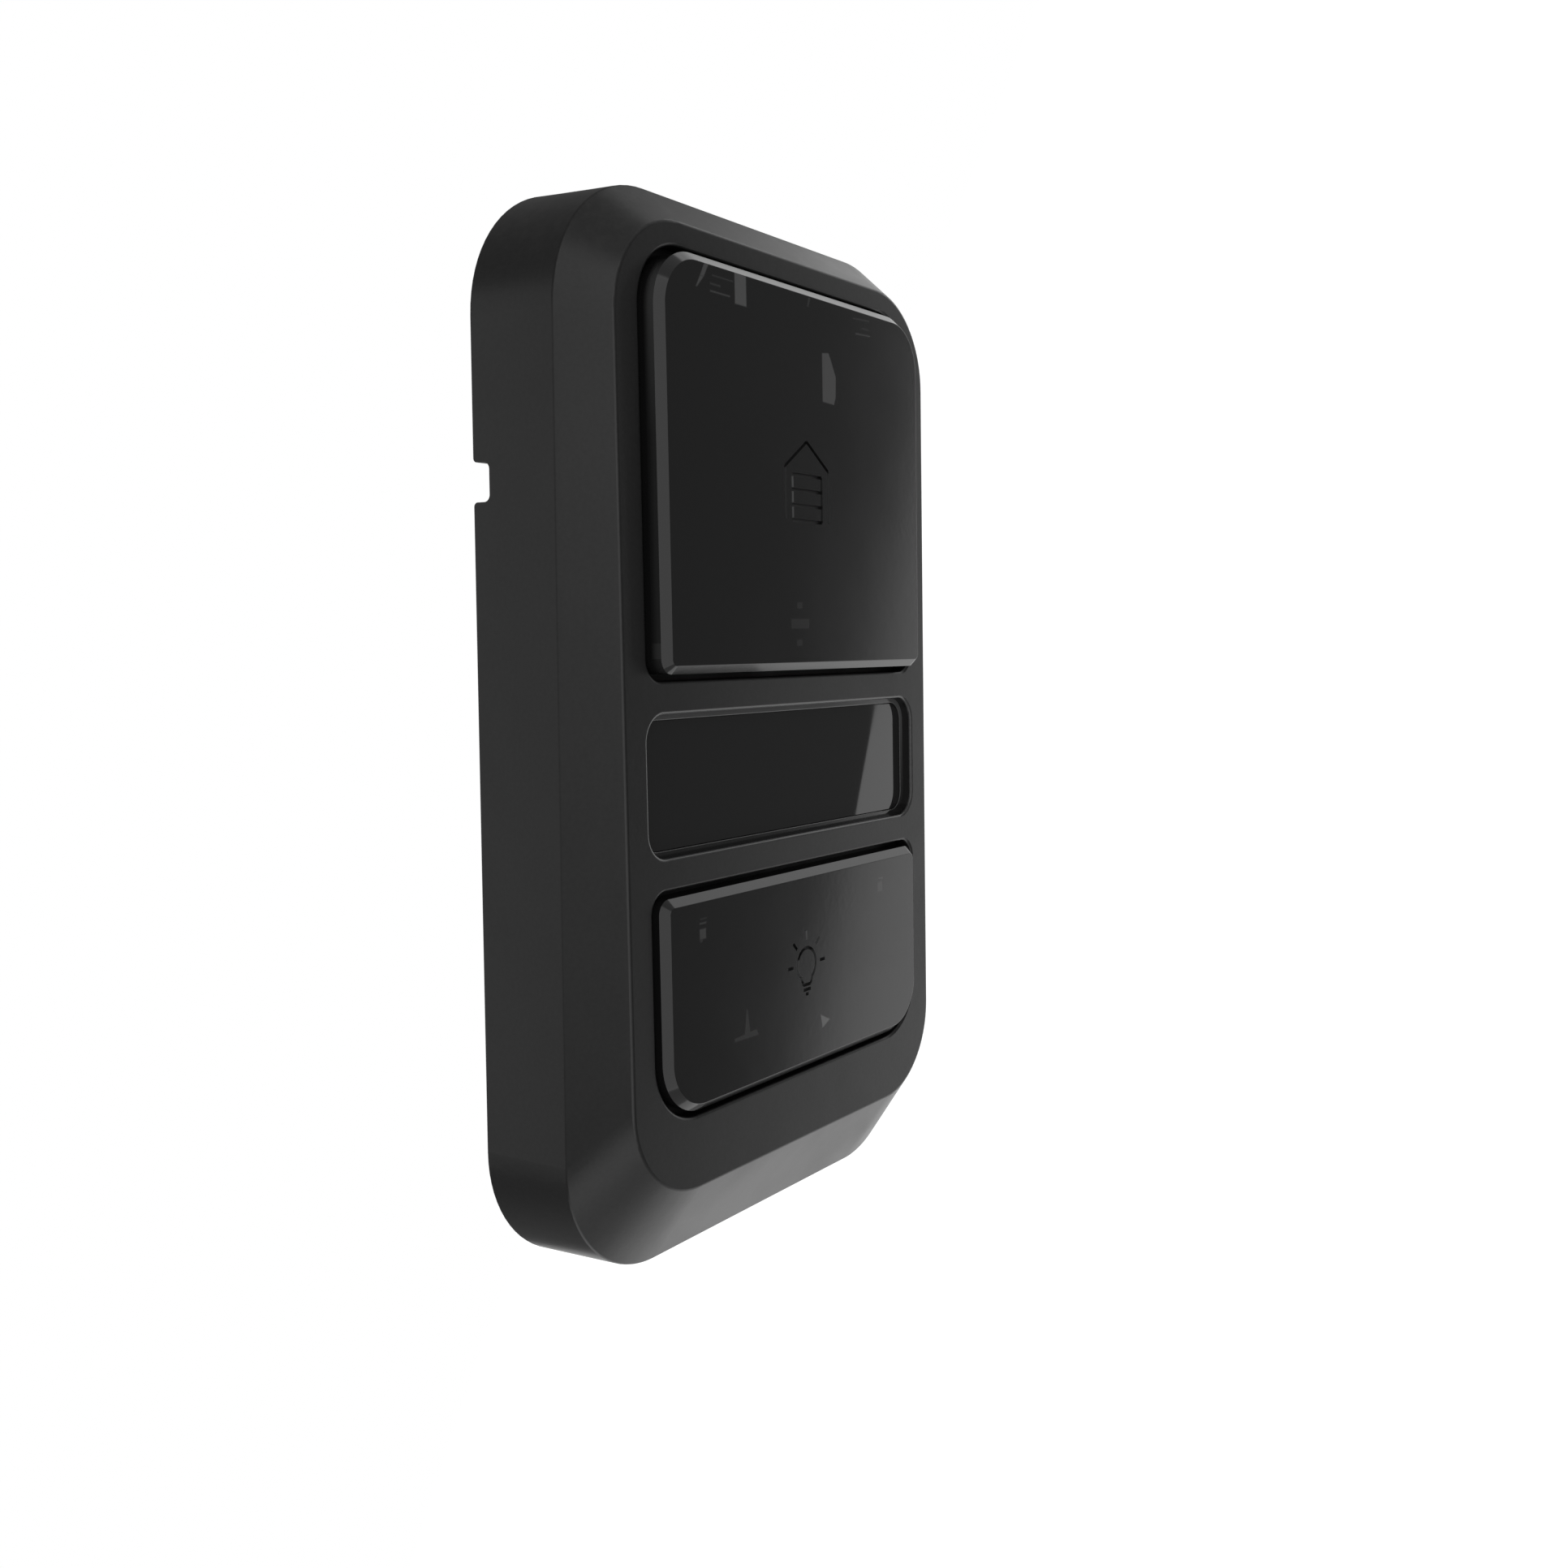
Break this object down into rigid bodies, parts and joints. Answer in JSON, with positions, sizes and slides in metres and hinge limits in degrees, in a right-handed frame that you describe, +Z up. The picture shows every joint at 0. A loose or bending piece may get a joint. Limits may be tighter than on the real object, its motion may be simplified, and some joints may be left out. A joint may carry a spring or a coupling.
{
  "type": "garage door control panel",
  "caption": "Wall panel for a garage door opener: a large door button, a display window and a lamp button in a bevelled shell that snaps onto a screwed wall plate.",
  "frame": {"origin": "on the wall plane, midway between the two wall screws and in the middle of the panel", "axes": "+Z up, +X to the right as seen from the front, +Y into the wall; the face looks along -Y"},
  "size_m": [0.0762, 0.0201, 0.127],
  "materials": {
    "housing_plastic": "black moulded plastic with a fine matt texture",
    "inner_plastic": "plain black moulded plastic",
    "smoked_plastic": "polished smoked black plastic",
    "bezel_plastic": "satin black plastic",
    "display_glass": "polished dark display window",
    "gasket_rubber": "soft black rubber",
    "panel_glass": "dark liquid crystal panel",
    "diffuser": "milky light guide plastic",
    "spring_steel": "bright drawn spring wire",
    "screw_steel": "zinc plated steel",
    "terminal_brass": "plain brass",
    "terminal_plastic": "green moulded plastic",
    "board_laminate": "green lacquered laminate",
    "switch_plastic": "black moulded plastic with a satin lid",
    "plunger_plastic": "light moulded plastic",
    "led_lens": "milky lamp body",
    "chip_plastic": "black moulded chip plastic",
    "module_metal": "drawn light metal can"
  },
  "bodies": {
    "housing": {"board_screws": "screw_steel", "chassis_screws": "screw_steel", "chip_components": "chip_plastic", "circuit_board": "board_laminate", "display_backlight": "diffuser", "display_contact_strip": "gasket_rubber", "display_frame": "bezel_plastic", "display_gasket": "gasket_rubber", "display_lens": "display_glass", "display_panel": "panel_glass", "door_leds": "led_lens", "door_return_springs": "spring_steel", "door_switch_body": "switch_plastic", "front_housing": "housing_plastic", "inner_chassis": "inner_plastic", "lamp_leds": "led_lens", "lamp_return_springs": "spring_steel", "lamp_switch_body": "switch_plastic", "microcontroller": "chip_plastic", "power_capacitor": "module_metal", "radio_module": "module_metal", "terminal_block": "terminal_plastic", "terminal_clamps": "terminal_brass", "terminal_screws": "screw_steel", "voltage_regulator": "chip_plastic", "wall_plate": "housing_plastic"},
    "door_button": {"door_button_cap": "smoked_plastic", "door_button_base": "inner_plastic", "door_light_guide": "diffuser"},
    "lamp_button": {"lamp_button_cap": "smoked_plastic", "lamp_button_base": "inner_plastic", "lamp_light_guide": "diffuser"},
    "door_plunger": {"door_switch_plunger": "plunger_plastic"},
    "lamp_plunger": {"lamp_switch_plunger": "plunger_plastic"}
  },
  "joints": [
    {"name": "door_button_press", "type": "slide", "parent": "housing", "child": "door_button", "axis": [0, 1, 0], "range_m": [0, 0.0008], "stiffness_N_per_m": 500, "springref_m": -0.004, "deforming": ["door_return_springs"]},
    {"name": "lamp_button_press", "type": "slide", "parent": "housing", "child": "lamp_button", "axis": [0, 1, 0], "range_m": [0, 0.0008], "stiffness_N_per_m": 400, "springref_m": -0.004, "deforming": ["lamp_return_springs"]},
    {"name": "door_plunger_press", "type": "slide", "parent": "housing", "child": "door_plunger", "axis": [0, 1, 0], "range_m": [0, 0.0008], "stiffness_N_per_m": 60, "springref_m": -0.003},
    {"name": "lamp_plunger_press", "type": "slide", "parent": "housing", "child": "lamp_plunger", "axis": [0, 1, 0], "range_m": [0, 0.0008], "stiffness_N_per_m": 60, "springref_m": -0.003}
  ],
  "couplings": [
    {"joint": "door_plunger_press", "follows": "door_button_press", "ratio": 1},
    {"joint": "lamp_plunger_press", "follows": "lamp_button_press", "ratio": 1}
  ]
}
